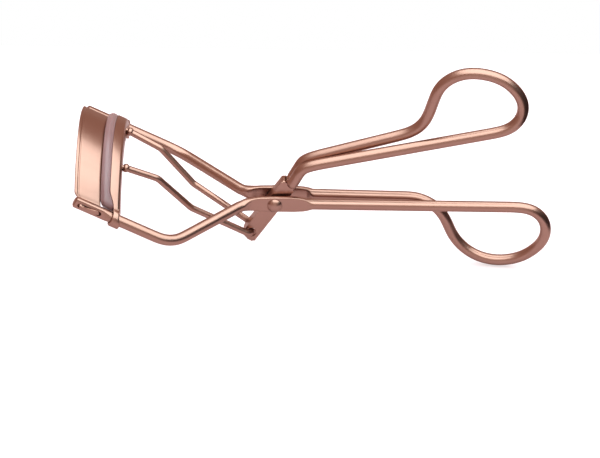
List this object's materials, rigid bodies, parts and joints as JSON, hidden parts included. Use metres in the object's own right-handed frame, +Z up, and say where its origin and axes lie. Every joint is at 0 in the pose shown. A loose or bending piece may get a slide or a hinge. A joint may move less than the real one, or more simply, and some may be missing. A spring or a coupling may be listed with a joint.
{
  "type": "eyelash curler",
  "caption": "Scissor-action eyelash curler of bent wire in satin rose-gold metal, with a curved fixed plate, a sliding jaw with a silicone pad, push rods and round finger loops.",
  "frame": {"origin": "centre of the pivot rivet, on the tool's middle plane", "axes": "+X runs back along the frame wire to the finger loops, +Z is up towards the lever, and Y is the pivot axis, with the near side at -Y"},
  "size_m": [0.107, 0.0406, 0.053],
  "materials": {
    "frame_metal": "satin rose-gold plate",
    "plate_metal": "satin rose-gold plate",
    "rivet_metal": "satin rose-gold plate",
    "yoke_metal": "satin rose-gold plate",
    "lever_metal": "satin rose-gold plate",
    "jaw_metal": "satin rose-gold plate",
    "rod_metal": "satin rose-gold plate",
    "pad_silicone": "smooth translucent mauve silicone"
  },
  "bodies": {
    "frame": {"frame_wire": "frame_metal", "fixed_plate": "plate_metal", "rivet": "rivet_metal"},
    "lever": {"yoke": "yoke_metal", "lever_wire": "lever_metal"},
    "jaw": {"moving_jaw": "jaw_metal", "silicone_pad": "pad_silicone"},
    "near_rod": {"push_rod_near": "rod_metal"},
    "far_rod": {"push_rod_far": "rod_metal"}
  },
  "joints": [
    {"name": "lever_hinge", "type": "hinge", "parent": "frame", "child": "lever", "pos_m": [0, 0, 0], "axis": [0, -1, 0], "range_deg": [0, 40]},
    {"name": "jaw_slide", "type": "slide", "parent": "frame", "child": "jaw", "axis": [0.887, 0, -0.4617], "range_m": [0, 0.0066]},
    {"name": "near_rod_hinge", "type": "hinge", "parent": "jaw", "child": "near_rod", "pos_m": [-0.0352, -0.0077, 0.01376], "axis": [0, -1, 0], "range_deg": [0, 2.1]},
    {"name": "far_rod_hinge", "type": "hinge", "parent": "jaw", "child": "far_rod", "pos_m": [-0.0352, 0.0077, 0.01376], "axis": [0, -1, 0], "range_deg": [0, 2.1]}
  ],
  "couplings": [
    {"joint": "jaw_slide", "follows": "lever_hinge", "m_per_rad": 0.00935},
    {"joint": "near_rod_hinge", "follows": "lever_hinge", "ratio": 0.0511},
    {"joint": "far_rod_hinge", "follows": "lever_hinge", "ratio": 0.0511}
  ]
}
